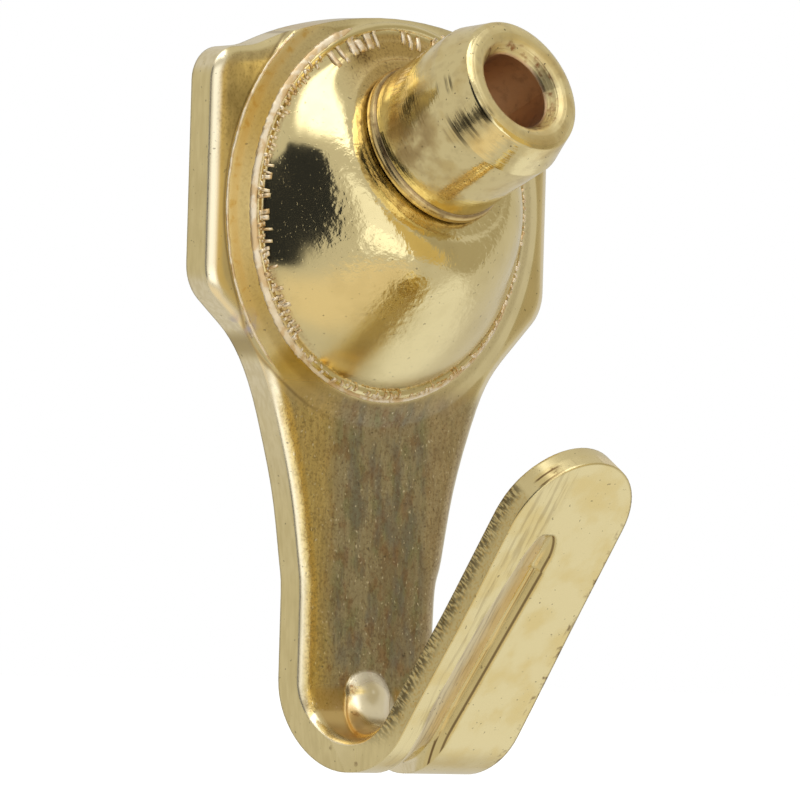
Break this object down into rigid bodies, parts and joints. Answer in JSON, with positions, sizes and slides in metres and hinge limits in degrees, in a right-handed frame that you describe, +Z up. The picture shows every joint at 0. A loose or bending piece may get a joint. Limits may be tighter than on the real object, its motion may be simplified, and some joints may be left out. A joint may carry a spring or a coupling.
{
  "type": "picture hook",
  "caption": "Pressed brass picture hook with a drawn dome, an angled turned nail guide staked in the dome, and a ribbed arm folded up to carry a picture's wire.",
  "frame": {"origin": "On the wall plane, at the middle of the flat back of the shank, halfway across its width. It is the position of mount wall_face.", "axes": "+Z is up the wall, towards the head. +Y runs into the wall, so the hook's front and its arm face -Y. +X is to the right for someone facing the wall."},
  "size_m": [0.0192, 0.0143, 0.0307],
  "materials": {
    "plate_brass": "bright plated finish over stamped and drawn sheet, slightly mottled on the flat faces, with sheared edges left as cut",
    "bush_brass": "turned and bright plated, with fine turning marks on the rim and a dark copper-brown bore"
  },
  "bodies": {
    "root": {"hook_plate": "plate_brass", "nail_bush": "bush_brass"}
  },
  "joints": []
}
